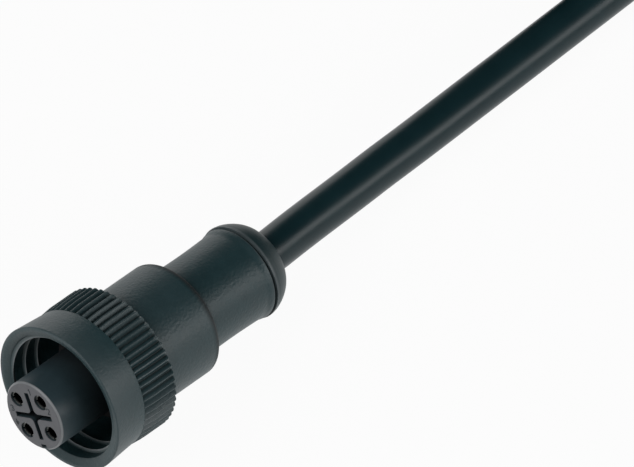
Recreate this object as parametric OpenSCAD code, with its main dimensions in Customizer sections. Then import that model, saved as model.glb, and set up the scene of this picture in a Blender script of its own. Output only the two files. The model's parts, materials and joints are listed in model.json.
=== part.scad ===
// Moulded circular power connector, three contacts and earth, on a two metre cable.
// It lies as it comes to rest, nose raised, on its coupling ring and its rear dome.
// Every piece of the connector is drawn about its own axis, where Z = 0 is the mating
// face and +Z runs back to the cable. seated() then lays that axis along +X.

/* [Coupling ring] */
// Outer diameter over the ribs of the grip
ring_d = 30; // [29:0.1:33]
// Outer diameter of the smooth lip at the mouth
lip_d = 30.7; // [29.6:0.1:33]
// Diameter of the smooth band where the grip begins
band_d = 29.4; // [28.8:0.1:30]
// Length of the ring
ring_l = 16.6; // [15.5:0.1:20]
// Length of the ribbed grip
grip_l = 8.7; // [4:0.1:9.5]
// Number of ribs round the grip
rib_count = 60; // [40:4:72]
// Depth of the grooves between the ribs
groove_depth = 0.7; // [0.4:0.05:0.8]
// Width of a groove at its top
groove_w = 1.4; // [0.7:0.05:1.5]
// Bore at the crests of the thread
bore_d = 24.7; // [23.8:0.1:25.2]
// Outer diameter of the dished front face
dish_d = 29.2; // [28:0.1:29.6]
// Depth of the dish
dish_l = 0.7; // [0.2:0.1:1]
// Opening of the mouth at the bottom of the dish
mouth_d = 26.1; // [25.4:0.1:27]
// Length of the lead-in cone behind the mouth
mouth_l = 0.7; // [0.4:0.1:2]
// Thickness of the inner collar that holds the ring on
collar_l = 2.6; // [2:0.1:4]

/* [Contact insert] */
// Diameter of the nose
nose_d = 14.5; // [14:0.1:15.5]
// How far the nose stands out of the ring's mouth
nose_reach = 6.8; // [3:0.1:8]
// Diameter of the base that the mating plug meets
base_d = 20.6; // [20:0.1:21]
// Thickness of the base
base_l = 2.8; // [2:0.1:3.5]
// Diameter of the stem that the ring turns on
stem_d = 18; // [17.6:0.1:18.6]
// Length of stem that sits in the shell
stem_seat = 5; // [3:0.1:7]
// Wall of the stem round its rear pocket
stem_wall = 1.7; // [1.2:0.1:2]
// Pitch circle of the contacts
pitch_d = 9.4; // [9.2:0.1:9.8]
// Opening in the face in front of each contact
entry_d = 3.2; // [2.7:0.1:3.3]
// Width of the cross-shaped slot
cross_w = 1.1; // [0.8:0.1:1.3]
// Reach of each arm of the cross from the axis
cross_reach = 5; // [4:0.1:5.5]
// Rounding of the four inner corners of the cross
cross_round = 0.9; // [0.4:0.1:1.2]
// Depth of the cross
cross_depth = 5; // [2:0.1:8]
// Width of the keyway along the nose
keyway_w = 1.4; // [0.8:0.1:1.6]
// Depth of the keyway
keyway_depth = 1.2; // [0.6:0.1:1.3]
// Turn of the keyway from straight down, in degrees
key_turn = -32; // [-180:1:180]

/* [Contacts and wires] */
// Outer diameter of a socket contact
socket_d = 3.4; // [3.2:0.1:3.6]
// Bore of a socket contact
socket_bore = 2.5; // [2.2:0.1:2.6]
// Depth of that bore
socket_depth = 10; // [8:0.1:12]
// How far a contact lies behind the mating face
socket_recess = 0.5; // [0.3:0.1:2]
// Width of the slits that make a contact springy
slit_w = 0.4; // [0.3:0.05:0.5]
// Length of those slits
slit_l = 6.5; // [4:0.1:7.5]
// Diameter of the collar that locks a contact in the insert
lock_d = 4.4; // [4:0.1:4.8]
// Thickness of that collar
lock_l = 1.6; // [1:0.1:2]
// Diameter of the crimp barrel
barrel_d = 3.1; // [2.9:0.1:3.3]
// Length of the crimp barrel
barrel_l = 7.5; // [6:0.1:8]
// Diameter of a conductor's strands
strand_d = 1.6; // [1.2:0.1:1.8]
// Diameter of an insulated core
core_d = 2.7; // [2.4:0.1:2.8]

/* [Seal] */
// Outer diameter of the flat seal on the base
seal_d = 19.4; // [18:0.1:20]
// Diameter of the groove in the nose that the seal sits in
seat_d = 13.9; // [13.6:0.1:14.2]
// Thickness of the seal
seal_l = 1.2; // [0.8:0.1:2]

/* [Shell] */
// Outer diameter of the wide front part
shell_d = 23.9; // [23:0.1:26]
// Length of the wide front part
shell_l = 15.2; // [12:0.1:20]
// Rounding of its shoulder
shoulder_r = 1.6; // [0.5:0.1:2]
// Outer diameter of the neck
neck_d = 18.6; // [17.6:0.1:19]
// Length of the neck
neck_l = 17.2; // [14:0.1:24]
// Wall of the neck
neck_wall = 1.5; // [1.2:0.1:2]
// Rounding between the shoulder and the neck
neck_fillet = 0.6; // [0.2:0.1:1]
// How much slimmer the neck is at its middle, on the radius
neck_waist = 0.15; // [0:0.05:0.3]
// Outer diameter of the rim at the rear
rim_d = 19.2; // [19:0.1:21]
// Length of the flare that opens out to the rim
flare_l = 2; // [1.5:0.1:3]

/* [Strain relief] */
// Width of the groove between the shell and the rear dome
seam_w = 0.4; // [0.2:0.05:0.8]
// Depth of that groove
seam_depth = 0.7; // [0.4:0.1:1.2]
// Diameter of the rear dome
dome_d = 19.7; // [19:0.1:21]
// Length of the rear dome
dome_l = 4.9; // [3:0.1:7]
// Diameter of the flat that the cable comes out of
flat_d = 14.3; // [12:0.1:16]
// Length of cable jacket held inside
jacket_hold = 13.3; // [8:0.1:16]

/* [Cable] */
// Outer diameter of the cable
cable_d = 8.5; // [7.6:0.1:9]
// Thickness of the band that ties the coil
tie_t = 0.8; // [0.6:0.1:1.2]
// Width of that band
tie_w = 4.8; // [3:0.1:8]

/* [Fits] */
// Clearance between the turning ring and what it runs on
play = 0.2; // [0.15:0.05:0.3]
// Clearance between pieces that are seated in each other
fit = 0.05; // [0.02:0.01:0.1]

/* [Hidden] */
$fn = 96;

// Width of a groove's floor as a share of its width at the top, and the turn of the ribs in degrees
floor_share = 0.1;
rib_turn = -1.65;

// Bulge of the rear dome: 1 is a cone and 2 is a quarter of an ellipse
dome_bulge = 1.45;

// Colours
plastic_black = "#24282b";
plastic_soft = "#1f2326";
rubber_black = "#17191b";
brass_plated = "#c9b26a";
copper = "#b87333";
core_colours = ["#5a3a22", "#1c1c1e", "#8d9094", "#4f8a3c"];

// Edge breaks, the roundings of the lip and the rim, and the overshoot that makes a cut pass right through
edge = 0.35;
lip_round = 0.45;
rim_round = 0.2;
over = 1;

// Solid metal between a contact's locking collar and the hole of its crimp
crimp_floor = 1.4;

// Places along the axis, measured back from the mating face
ring_front = nose_reach;
ring_rear = ring_front + ring_l;
grip_front = ring_rear - grip_l;
mouth_front = ring_front + dish_l;
collar_front = ring_rear - collar_l;
base_rear = collar_front - play;
base_front = base_rear - base_l;
seal_front = base_front - seal_l;
shell_front = ring_rear + play;
stem_rear = shell_front + stem_seat;
shoulder = shell_front + shell_l;
shell_step = shoulder - (shell_d - neck_d) / 2;
shell_rear = shoulder + neck_l;
dome_front = shell_rear + seam_w;
exit = dome_front + dome_l;
jacket_front = exit - jacket_hold;
pocket_front = base_rear - edge;
lock_front = pocket_front - lock_l;
barrel_rear = pocket_front + barrel_l;
crimp_front = pocket_front + crimp_floor;
fan_front = barrel_rear + core_d / 2;
fan_rear = jacket_front - core_d / 2;

// Radii that follow from the sizes above
pocket_d = stem_d - 2 * stem_wall;
neck_bore = neck_d - 2 * neck_wall;
bundle_d = core_d * sqrt(2) + 2 * fit;
cable_r = cable_d / 2;

// Sides and steps of the cores' bends
core_sides = 10;
fan_steps = 8;

// Outline of the rear dome, from its front edge round to the flat
dome_land = dome_front + edge;
function dome_line(steps = 10) = concat([[dome_d / 2, dome_front]],
    [for (i = [0:steps]) let (share = sin(90 * i / steps)) [
        (flat_d + (dome_d - flat_d) * pow(1 - pow(share, dome_bulge), 1 / dome_bulge)) / 2,
        dome_land + (exit - dome_land) * share
    ]]);

// How the connector lies: a line under it touches the ring's rear edge and the widest part of the dome
rest_ring = [ring_rear - edge, ring_d / 2];
rest_span = [dome_land, dome_d / 2] - rest_ring;
tilt = -atan2(rest_span[1], rest_span[0]);
axis_z = rest_ring[0] * sin(tilt) + rest_ring[1] * cos(tilt);
front_x = -(nose_d / 2 - edge) * sin(tilt);
rear_x = exit * cos(tilt) + flat_d / 2 * sin(tilt);
middle_x = (front_x + rear_x) / 2;

// The lead leaves along the axis, comes down to the table and runs to the coil
axis_at = function (s) [s * cos(tilt) - middle_x, 0, axis_z - s * sin(tilt)];
route_beyond = [
    [34, 0.05, 8.5], [38, 0.25, 7.95], [44, 0.45, 7.2], [50, 0.55, 6.5], [57, 0.6, 5.8], [64, 0.6, 5.3],
    [72, 0.45, 4.8], [80, 0.25, 4.5], [90, -0.05, 4.3], [100, -0.45, 4.25], [110, -0.85, 4.25], [120, -1.25, 4.25],
    [130, -1.65, 4.25], [140, -2.05, 4.3], [150, -2.4, 4.6], [160, -2.6, 5]
];
lead_route = concat([axis_at(jacket_front), axis_at(exit)], route_beyond);
lead_sides = 12;

// The coil: two turns side by side in each of four layers
coil_centre = [162, 44.2, tie_t];
turn_in = 4.5 * cable_d;
turn_out = 5.5 * cable_d;
layers = 4;
top_turn = (layers - 0.5) * cable_d;
tie_turns = [30, 210];
tie_gap = 0.1;

// Turn of a contact from the keyway, and from straight down
function contact_step(i) = 45 + 90 * i;
function contact_angle(i) = key_turn + contact_step(i);

// Points of an arc about a centre, from one angle to another
function arc(centre, r, from, to, steps = 10) =
    [for (i = [0:steps]) centre + r * [cos(from + (to - from) * i / steps), sin(from + (to - from) * i / steps)]];

// Lays a piece that is drawn about the Z axis along +X, at rest on the table
module seated() translate([-middle_x, 0, axis_z]) rotate([0, 90 + tilt, 0]) children();

// A disc or pin from one place along the axis to another
module barrel(d, from, to) translate([0, 0, from]) cylinder(d = d, h = to - from);

// The way of one core: out of its contact, in towards the axis and into the jacket
function core_route(i, from, to) = let (
    angle = contact_angle(i),
    out_way = [cos(angle), sin(angle), 0],
    bends = [for (k = [0:fan_steps]) let (share = k / fan_steps)
        out_way * (pitch_d + (bundle_d - pitch_d) * (1 - cos(180 * share)) / 2) / 2
        + [0, 0, fan_front + (fan_rear - fan_front) * share]]
) concat([out_way * pitch_d / 2 + [0, 0, from]], bends, [out_way * bundle_d / 2 + [0, 0, to]]);

// A direction square to the plane that a core bends in
function core_side(i) = [-sin(contact_angle(i)), cos(contact_angle(i)), 0];

// A ring of points about one point of a route, square to its direction there
function route_ring(route, i, r, sides, level) = let (
    last = len(route) - 1,
    ahead = route[min(i + 1, last)] - route[max(i - 1, 0)],
    along = ahead / norm(ahead),
    side_way = cross(level, along),
    side = side_way / norm(side_way),
    up = cross(along, side)
) [for (j = [0:sides - 1]) route[i] + r * (cos(360 * j / sides) * side + sin(360 * j / sides) * up)];

// Faces between two neighbouring rings of points
function ring_walls(first, second, sides) =
    [for (j = [0:sides - 1]) [first + j, second + j, second + (j + 1) % sides, first + (j + 1) % sides]];

// A round bar swept along a route
module swept_bar(route, r, sides, level) {
    last = len(route) - 1;
    points = [for (i = [0:last]) each route_ring(route, i, r, sides, level)];
    walls = [for (i = [0:last - 1]) each ring_walls(i * sides, (i + 1) * sides, sides)];
    front = [for (j = [0:sides - 1]) j];
    rear = [for (j = [sides - 1:-1:0]) last * sides + j];
    polyhedron(points, concat([front, rear], walls));
}

// A round tube swept along a route
module swept_tube(route, r, bore_r, sides, level) {
    last = len(route) - 1;
    outer = [for (i = [0:last]) each route_ring(route, i, r, sides, level)];
    inner = [for (i = [0:last]) each route_ring(route, i, bore_r, sides, level)];
    shift = len(outer);
    walls = [for (i = [0:last - 1]) each ring_walls(i * sides, (i + 1) * sides, sides)];
    bore = [for (i = [0:last - 1]) each ring_walls(shift + (i + 1) * sides, shift + i * sides, sides)];
    front = ring_walls(shift, 0, sides);
    rear = ring_walls(last * sides, shift + last * sides, sides);
    polyhedron(concat(outer, inner), concat(walls, bore, front, rear));
}

// Section of the ribbed grip
module grip_section() {
    pitch = 360 / rib_count;
    floor_w = groove_w * floor_share;
    slope = (groove_w - floor_w) / groove_depth;
    difference() {
        circle(d = ring_d);
        for (i = [0:rib_count - 1]) rotate((i + 0.5) * pitch + rib_turn) translate([ring_d / 2, 0])
            polygon([
                [-groove_depth, -floor_w / 2], [over, -groove_w / 2 - slope * over / 2],
                [over, groove_w / 2 + slope * over / 2], [-groove_depth, floor_w / 2]
            ]);
    }
}

module coupling_ring() color(plastic_black) seated() difference() {
    union() {
        // smooth band, opening out to the lip
        rotate_extrude() polygon(concat(
            [[0, ring_front]],
            arc([lip_d / 2 - lip_round, ring_front + lip_round], lip_round, -90, 0),
            [[band_d / 2, grip_front + edge], [0, grip_front + edge]]
        ));
        barrel(band_d - 2 * edge, ring_front + over, ring_rear);
        translate([0, 0, grip_front]) linear_extrude(ring_rear - grip_front) grip_section();
    }
    // dished face, mouth, thread bore and the hole in the inner collar
    rotate_extrude() polygon([
        [0, ring_front - over], [dish_d / 2, ring_front - over], [dish_d / 2, ring_front],
        [mouth_d / 2, mouth_front], [bore_d / 2, mouth_front + mouth_l], [bore_d / 2, collar_front], [0, collar_front]
    ]);
    barrel(stem_d + 2 * play, ring_front, ring_rear + over);
    // broken rear edge
    rotate_extrude() polygon([
        [ring_d / 2 - edge, ring_rear + over], [ring_d / 2 - edge, ring_rear],
        [ring_d / 2, ring_rear - edge], [ring_d / 2 + over, ring_rear - edge], [ring_d / 2 + over, ring_rear + over]
    ]);
}

// Outline of the cross-shaped slot
module cross_section() {
    core_side = cross_w + 2 * cross_round;
    square([2 * cross_reach, cross_w], center = true);
    square([cross_w, 2 * cross_reach], center = true);
    difference() {
        square(core_side, center = true);
        for (turn = [0:90:270]) rotate(turn) translate([core_side / 2, core_side / 2]) circle(r = cross_round);
    }
}

module contact_insert() color(plastic_black) seated() rotate(key_turn) difference() {
    rotate_extrude() polygon([
        [0, 0], [nose_d / 2 - edge, 0], [nose_d / 2, edge], [nose_d / 2, seal_front],
        [seat_d / 2, seal_front], [seat_d / 2, base_front], [base_d / 2 - edge, base_front],
        [base_d / 2, base_front + edge], [base_d / 2, base_rear],
        [stem_d / 2, base_rear], [stem_d / 2, stem_rear], [0, stem_rear]
    ]);
    // rear pocket where the wires are crimped on
    barrel(pocket_d, pocket_front, stem_rear + over);
    for (i = [0:3]) rotate(contact_step(i)) translate([pitch_d / 2, 0]) {
        barrel(entry_d, -over, socket_recess + over);
        barrel(socket_d + 2 * fit, socket_recess, pocket_front + over);
        barrel(lock_d + 2 * fit, lock_front, pocket_front + over);
    }
    translate([0, 0, -over]) linear_extrude(over + cross_depth) cross_section();
    translate([nose_d / 2 - keyway_depth, -keyway_w / 2, -over])
        cube([keyway_depth + over, keyway_w, seal_front + over]);
}

module face_seal() color(rubber_black) seated() rotate_extrude() polygon([
    [seat_d / 2 + fit, seal_front + fit], [seal_d / 2 - edge, seal_front + fit], [seal_d / 2, seal_front + edge],
    [seal_d / 2, base_front], [seat_d / 2 + fit, base_front]
]);

// Side of the neck, a little waisted between its shoulder and its flare
function neck_line(steps = 12) = let (from = shoulder + neck_fillet, to = shell_rear - flare_l)
    [for (i = [1:steps]) [neck_d / 2 - neck_waist * sin(180 * i / steps), from + (to - from) * i / steps]];

// Flare of the neck, an S-curve out to the rim
function flare_line(steps = 10) =
    [for (i = [1:steps]) [
        neck_d / 2 + (rim_d - neck_d) / 2 * (1 - cos(180 * i / steps)) / 2,
        shell_rear - flare_l + (flare_l - 2 * rim_round) * i / steps
    ]];

module shell() color(plastic_black) seated() rotate_extrude() polygon(concat(
    [[stem_d / 2 + fit, shell_front], [shell_d / 2 - edge, shell_front], [shell_d / 2, shell_front + edge]],
    arc([shell_d / 2 - shoulder_r, shoulder - shoulder_r], shoulder_r, 0, 90),
    arc([neck_d / 2 + neck_fillet, shoulder + neck_fillet], neck_fillet, 270, 180, 6),
    neck_line(),
    flare_line(),
    arc([rim_d / 2 - rim_round, shell_rear - rim_round], rim_round, 0, 90, 4),
    [[neck_bore / 2, shell_rear], [neck_bore / 2, shell_step], [stem_d / 2 + fit, shell_step]]
));

module strain_relief() color(plastic_soft) seated() difference() {
    rotate_extrude() polygon(concat(
        [
            [0, pocket_front], [pocket_d / 2 - fit, pocket_front], [pocket_d / 2 - fit, stem_rear],
            [stem_d / 2, stem_rear], [stem_d / 2, shell_step], [neck_bore / 2 - fit, shell_step],
            [neck_bore / 2 - fit, shell_rear], [dome_d / 2 - seam_depth, shell_rear],
            [dome_d / 2 - seam_depth, dome_front]
        ],
        dome_line(),
        [[0, exit]]
    ));
    barrel(cable_d + 2 * fit, jacket_front, exit + over);
    for (i = [0:3]) {
        rotate(contact_angle(i)) translate([pitch_d / 2, 0]) barrel(barrel_d + 2 * fit, pocket_front - over, barrel_rear);
        swept_bar(core_route(i, barrel_rear - fit, jacket_front + over), core_d / 2 + fit, core_sides, core_side(i));
    }
}

// A turned contact: slit spring socket, locking collar and crimp barrel
module socket(i, tint) color(tint) seated() rotate(contact_angle(i)) translate([pitch_d / 2, 0]) difference() {
    union() {
        barrel(socket_d, socket_recess, pocket_front);
        barrel(lock_d, lock_front, pocket_front);
        barrel(barrel_d, pocket_front, barrel_rear);
    }
    barrel(socket_bore, socket_recess - over, socket_recess + socket_depth);
    barrel(strand_d + 2 * fit, crimp_front, barrel_rear + over);
    for (turn = [45, 135]) rotate(turn) translate([-socket_d, -slit_w / 2, socket_recess - over])
        cube([2 * socket_d, slit_w, slit_l + over]);
}

module socket_1() socket(0, brass_plated);
module socket_2() socket(1, brass_plated);
module socket_3() socket(2, brass_plated);
module earth_socket() socket(3, brass_plated);

// Bare copper strands, from the bottom of the crimp to the jacket
module strands(i) color(copper) seated()
    swept_bar(core_route(i, crimp_front, jacket_front), strand_d / 2, core_sides, core_side(i));

module strands_1() strands(0);
module strands_2() strands(1);
module strands_3() strands(2);
module earth_strands() strands(3);

// Insulation of one core, from the crimp to the jacket
module core(i) color(core_colours[i]) seated()
    swept_tube(core_route(i, barrel_rear, jacket_front), core_d / 2, strand_d / 2 + fit, core_sides, core_side(i));

module core_1() core(0);
module core_2() core(1);
module core_3() core(2);
module earth_core() core(3);

module cable_lead() color(rubber_black) swept_bar(lead_route, cable_r, lead_sides, [0, 0, 1]);

// Section of the wound turns, beside the coil's axis
module coil_section() {
    for (r = [turn_in, turn_out], z = [cable_r, top_turn]) translate([r, z]) circle(r = cable_r);
    translate([turn_in, 0]) square([turn_out - turn_in, layers * cable_d]);
    translate([turn_in - cable_r, cable_r]) square([2 * cable_d, top_turn - cable_r]);
}

module cable_coil() color(rubber_black) translate(coil_centre) rotate_extrude() coil_section();

// Outline of the tie: a tight loop round the wound turns, grown by a margin
module tie_outline(margin) hull()
    for (r = [turn_in, turn_out], z = [cable_r, top_turn]) translate([r, z]) circle(r = cable_r + margin, $fn = 32);

module coil_ties() color(plastic_soft) translate(coil_centre)
    for (turn = tie_turns) rotate([90, 0, turn]) translate([0, 0, -tie_w / 2]) linear_extrude(tie_w) difference() {
        tie_outline(tie_t);
        tie_outline(tie_gap);
    }

coupling_ring();
contact_insert();
face_seal();
shell();
strain_relief();
socket_1();
socket_2();
socket_3();
earth_socket();
strands_1();
strands_2();
strands_3();
earth_strands();
core_1();
core_2();
core_3();
earth_core();
cable_lead();
cable_coil();
coil_ties();
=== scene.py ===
"""Dresses a moulded circular power connector: coupling ring, socket insert, stepped shell and coiled cable.

Sizes are in metres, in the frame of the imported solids. A place along the connector is counted back from
its mating face, and an angle round it from straight down towards +Y.
"""

import json
import logging
import math
from dataclasses import dataclass, field
from enum import Enum

import bpy
import numpy as np
from mathutils import Matrix

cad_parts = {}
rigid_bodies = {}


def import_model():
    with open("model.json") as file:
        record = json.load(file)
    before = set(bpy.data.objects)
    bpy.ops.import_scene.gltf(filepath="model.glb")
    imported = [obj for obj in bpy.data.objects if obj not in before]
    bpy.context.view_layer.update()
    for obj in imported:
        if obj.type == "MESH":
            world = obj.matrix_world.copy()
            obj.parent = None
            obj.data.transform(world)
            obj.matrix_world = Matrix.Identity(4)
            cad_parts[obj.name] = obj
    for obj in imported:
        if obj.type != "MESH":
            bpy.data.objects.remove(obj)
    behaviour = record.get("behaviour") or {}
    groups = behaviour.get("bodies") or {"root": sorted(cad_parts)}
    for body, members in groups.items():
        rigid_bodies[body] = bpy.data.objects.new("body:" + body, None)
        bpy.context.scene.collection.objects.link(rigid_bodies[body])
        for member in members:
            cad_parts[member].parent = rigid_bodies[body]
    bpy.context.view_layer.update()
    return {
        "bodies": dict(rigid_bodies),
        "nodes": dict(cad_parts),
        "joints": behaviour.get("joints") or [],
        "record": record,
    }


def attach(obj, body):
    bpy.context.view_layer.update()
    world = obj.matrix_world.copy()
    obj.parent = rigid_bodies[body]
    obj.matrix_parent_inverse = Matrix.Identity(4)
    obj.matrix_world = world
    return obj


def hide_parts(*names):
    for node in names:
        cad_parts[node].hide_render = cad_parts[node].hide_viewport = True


LOG = logging.getLogger("connector")
Colour = tuple[float, float, float]
Array = np.ndarray
Piece = bpy.types.Object
Material = bpy.types.Material
UP = np.array([0.0, 0.0, 1.0])
# How much of a side one corner's rounding may take, and how far beyond it the flat is held
ROUND_SHARE = 0.45
GUARD_SHARE = 0.1
# Points nearer to each other than this are one
SAME_POINT = 1e-8


class Body(Enum):
    """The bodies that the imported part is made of."""

    CONNECTOR = "connector"
    RING = "ring"


class Slot(Enum):
    """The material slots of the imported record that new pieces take."""

    RING = "ring_plastic"
    INSERT = "insert_plastic"
    SHELL = "shell_plastic"
    STRANDS = "copper_strands"
    BROWN = "core_brown"
    BLACK = "core_black"
    GREY = "core_grey"
    GREEN = "core_green"
    JACKET = "cable_jacket"


class Wire:
    """One output socket of a material. Arithmetic on it adds Math nodes to that material."""

    def __init__(self, shade: "Shade", socket: bpy.types.NodeSocket) -> None:
        """Keeps the socket and the material that it belongs to."""
        self.shade = shade
        self.socket = socket

    def __add__(self, other: "Wire | float") -> "Wire":
        """The sum of this value and another."""
        return self.shade.math("ADD", self, other)

    def __sub__(self, other: "Wire | float") -> "Wire":
        """This value less another."""
        return self.shade.math("SUBTRACT", self, other)

    def __rsub__(self, other: float) -> "Wire":
        """A number less this value."""
        return self.shade.math("SUBTRACT", other, self)

    def __mul__(self, other: "Wire | float") -> "Wire":
        """The product of this value and another."""
        return self.shade.math("MULTIPLY", self, other)

    __radd__ = __add__
    __rmul__ = __mul__

    def dot(self, other: "Wire | Array") -> "Wire":
        """The dot product of this vector and another."""
        dot_product = {"operation": "DOT_PRODUCT"}
        return self.shade.node("ShaderNodeVectorMath", dot_product, {0: self, 1: other}, "Value")

    def at_least(self, other: "Wire | float") -> "Wire":
        """The larger of this value and another."""
        return self.shade.math("MAXIMUM", self, other)

    def ramp(self, start: float, stop: float) -> "Wire":
        """Zero where this value is at the start, one where it is at the stop, and held beyond both."""
        sockets = {"Value": self, "From Min": start, "From Max": stop}
        return self.shade.node("ShaderNodeMapRange", None, sockets)


class Shade:
    """A material under construction, with one Principled surface."""

    def __init__(self, name: str) -> None:
        """Starts a material.

        Args:
            name: The material's name.
        """
        self.material = bpy.data.materials.new(name)
        self.material.use_nodes = True
        self.tree = self.material.node_tree
        self.surface = self.tree.nodes["Principled BSDF"]

    def plug(self, socket: bpy.types.NodeSocket, value: object) -> None:
        """Links a wire to a socket, or sets the socket to a constant.

        Args:
            socket: The input socket.
            value: A wire, a number, a colour or a vector.
        """
        if isinstance(value, Wire):
            self.tree.links.new(value.socket, socket)
        else:
            socket.default_value = value

    def node(self, kind: str, settings: dict | None = None, sockets: dict | None = None,
             output: int | str = 0) -> Wire:
        """Adds any node.

        Args:
            kind: The node's type.
            settings: Its properties, set first.
            sockets: Values or wires for its input sockets, by name or number.
            output: Which output socket is handed back.

        Returns:
            The wire of that output.
        """
        made = self.tree.nodes.new(kind)
        for key, value in (settings or {}).items():
            setattr(made, key, value)
        for key, value in (sockets or {}).items():
            self.plug(made.inputs[key], value)
        return Wire(self, made.outputs[output])

    def math(self, operation: str, first: Wire | float, second: Wire | float) -> Wire:
        """A Math node on two values."""
        return self.node("ShaderNodeMath", {"operation": operation}, {0: first, 1: second})

    def mix(self, share: Wire, first: Wire | Colour, second: Wire | Colour) -> Wire:
        """A colour that goes from the first to the second as the share goes from 0 to 1."""
        start, stop = (end if isinstance(end, Wire) else (*end, 1.0) for end in (first, second))
        return self.node("ShaderNodeMix", {"data_type": "RGBA"}, {0: share, 6: start, 7: stop}, output=2)

    def mottled(self, share: Wire, colour: Colour, low: float, high: float) -> Wire:
        """A colour that goes from one multiple of itself to another as the share goes from 0 to 1."""
        return self.mix(share, scaled(colour, low), scaled(colour, high))

    def object_place(self) -> Wire:
        """The place of a point in the part's own frame."""
        return self.node("ShaderNodeTexCoord", output="Object")

    def noise(self, place: Wire, size: float, detail: float = 2.0, roughness: float = 0.5) -> Wire:
        """Soft random spots of a size, from about 0.2 to 0.8, with finer layers of a strength added."""
        sockets = {"Vector": place, "Scale": 1.0 / size, "Detail": detail, "Roughness": roughness}
        return self.node("ShaderNodeTexNoise", None, sockets)

    def bump(self, height: Wire, depth: float) -> None:
        """Roughens the surface by a height from 0 to 1, where 1 stands out by that depth."""
        normal = self.node("ShaderNodeBump", None, {"Height": height, "Distance": depth, "Strength": 1.0})
        self.plug(self.surface.inputs["Normal"], normal)

    def finish(self, colour: Wire, roughness: Wire, **constants: float) -> Material:
        """Sets the surface and hands back the material.

        Args:
            colour: The base colour.
            roughness: The roughness.
            constants: Other sockets of the surface, with spaces written as underscores.

        Returns:
            The finished material.
        """
        self.plug(self.surface.inputs["Base Color"], colour)
        self.plug(self.surface.inputs["Roughness"], roughness)
        for key, value in constants.items():
            self.surface.inputs[key.replace("_", " ")].default_value = value
        return self.material


def scaled(colour: Colour, share: float) -> Colour:
    """A colour times a share."""
    return tuple(share * c for c in colour)


@dataclass(frozen=True)
class MouldedPlastic:
    """Black moulded plastic with a spark-eroded grain, paler on rubbed edges and on edges with a painted
    highlight, and darkened by painted shade in its hollows.
    """

    name: str
    colour: Colour
    roughness: float
    grain: float = 0.00030
    depth: float = 0.000016
    patch: float = 0.0045
    # Pale tone of rubbed edges and painted highlights, how strongly it is laid on, and the strength of the
    # painted shade in hollows
    rubbed_and_highlit: Colour = (0.105, 0.125, 0.132)
    rub_and_highlight: float = 0.0
    painted_shade: float = 0.85
    gloss: float = 0.44
    deep: float = 0.74
    pale: float = 1.28
    # Share of the colour that the painted shade in hollows darkens to
    painted_shade_tone: float = 0.12

    def wear_and_painted_light(self, place: Wire) -> Wire:
        """How worn and lit a point is, as its piece stores it: 1 on a rubbed edge with a painted highlight,
        and -1 for painted shade deep in a hollow.
        """
        return place.shade.node("ShaderNodeAttribute", {"attribute_name": "wear_and_painted_light"}, output="Fac")

    def tone(self, place: Wire, mottle: Wire) -> Wire:
        """The plastic's own colour, deeper and paler in patches."""
        return place.shade.mottled(mottle, self.colour, self.deep, self.pale)

    def material(self) -> Material:
        """Makes the material: a grain, patches in colour and gloss, rubbed edges with painted highlights, and
        painted shade in hollows.

        Returns:
            The new material.
        """
        shade = Shade(self.name)
        place = shade.object_place()
        grain = shade.noise(place, self.grain, 1.0, 0.4)
        patches = shade.noise(place, self.patch, 3.0)
        speck = shade.noise(place, self.grain * 3.0, 1.0)
        wear_and_painted_light = self.wear_and_painted_light(place)
        body = self.tone(place, patches * 0.6 + speck * 0.4)
        # Paler towards the rubbed tone on rubbed edges and painted highlights
        worn_and_lit = shade.mix(wear_and_painted_light.at_least(0.0) * self.rub_and_highlight * (0.4 + patches), body, self.rubbed_and_highlit)
        # Painted shade: darker and rougher where the stored value is negative
        hollow_shade = (0.0 - wear_and_painted_light).at_least(0.0)
        with_painted_shade = shade.mix(hollow_shade * self.painted_shade, worn_and_lit, scaled(self.colour, self.painted_shade_tone))
        shade.bump(grain, self.depth)
        rough = self.roughness - 0.06 + patches * 0.07 + speck * 0.05 + hollow_shade * 0.2
        return shade.finish(with_painted_shade, rough, Specular_IOR_Level=self.gloss)


@dataclass(frozen=True)
class AxialPlastic(MouldedPlastic):
    """Moulded plastic whose painted light follows the connector's axis: one band at an edge carries a painted
    highlight.
    """

    face: Array | None = None
    along: Array | None = None
    start: float = 0.0
    middle: float = 0.0
    stop: float = 0.0
    onset: float = 0.00002

    def spread(self, place: Wire) -> tuple[Wire, Wire]:
        """How a point lies to the axis.

        Args:
            place: The point's place.

        Returns:
            How far it lies behind the mating face, and how far from the axis.
        """
        shade = place.shade
        apart = shade.node("ShaderNodeVectorMath", {"operation": "SUBTRACT"}, {0: place, 1: self.face})
        deep = apart.dot(self.along)
        return deep, shade.math("POWER", apart.dot(apart) - deep * deep, 0.5)

    def wear_and_painted_light(self, place: Wire) -> Wire:
        """One within the band, fading out from its middle to its stop."""
        # Painted highlight: one within the band
        deep, _ = self.spread(place)
        return deep.ramp(self.start - self.onset, self.start) * deep.ramp(self.stop, self.middle)


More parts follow.
